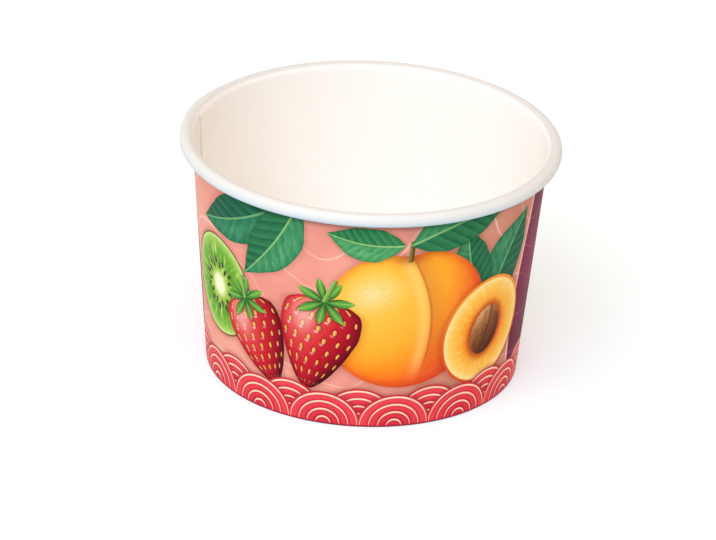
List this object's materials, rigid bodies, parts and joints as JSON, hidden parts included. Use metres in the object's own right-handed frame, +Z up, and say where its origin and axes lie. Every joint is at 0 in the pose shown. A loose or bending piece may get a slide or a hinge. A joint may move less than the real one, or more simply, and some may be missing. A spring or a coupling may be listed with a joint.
{
  "type": "paper ice cream cup",
  "caption": "Open tapered paper tub for ice cream: printed board wall with a lapped side seam, an outward-rolled rim, and a base disc sealed into a folded foot.",
  "frame": {"origin": "centre of the foot ring, on the surface that the cup stands on", "axes": "+Z up along the cup's axis, out of its mouth; the side seam is towards -X"},
  "size_m": [0.09, 0.09, 0.0582],
  "materials": {
    "printed_board": "satin coated board, colour printed outside and bare white inside and on the rim",
    "white_board": "satin coated board, white"
  },
  "bodies": {
    "root": {"sidewall": "printed_board", "base_disc": "white_board"}
  },
  "joints": []
}
